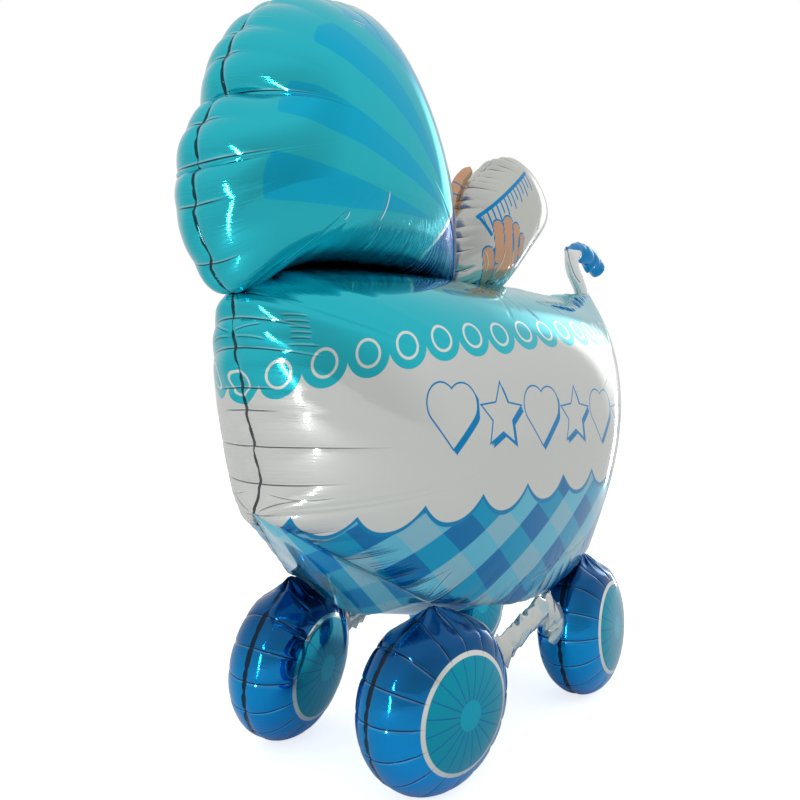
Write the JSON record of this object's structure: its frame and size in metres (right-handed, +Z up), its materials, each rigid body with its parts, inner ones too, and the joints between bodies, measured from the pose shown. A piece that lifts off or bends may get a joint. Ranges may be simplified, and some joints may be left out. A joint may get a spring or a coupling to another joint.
{
  "type": "pram foil balloon",
  "caption": "Pram-shaped foil balloon with a lobed hood, scalloped and checked tub, feeding bottle, push handle and disc wheels joined by arched chassis bars; stands on its wheels.",
  "frame": {"origin": "on the ground, below the middle of the overall length and width", "axes": "+Z up, +X from the hood end to the push handle, -Y the pram's left side"},
  "size_m": [1.0482, 0.382, 0.9616],
  "materials": {
    "tub_foil": "satin metallised foil, turquoise top band, warm white middle, blue gingham below",
    "hood_foil": "satin metallised turquoise foil with darker fan stripes",
    "bottle_foil": "satin grey-white foil with a printed blue scale and small hands",
    "handle_foil": "white foil stalk, glossy royal blue grip",
    "wheel_foil": "glossy royal blue foil with a white ring and teal spoked disc",
    "chassis_foil": "crumpled silver-white foil"
  },
  "bodies": {
    "root": {"tub": "tub_foil", "hood": "hood_foil", "bottle": "bottle_foil", "handle": "handle_foil", "wheel_front_left": "wheel_foil", "wheel_front_right": "wheel_foil", "wheel_back_left": "wheel_foil", "wheel_back_right": "wheel_foil", "chassis_left": "chassis_foil", "chassis_right": "chassis_foil"}
  },
  "joints": []
}
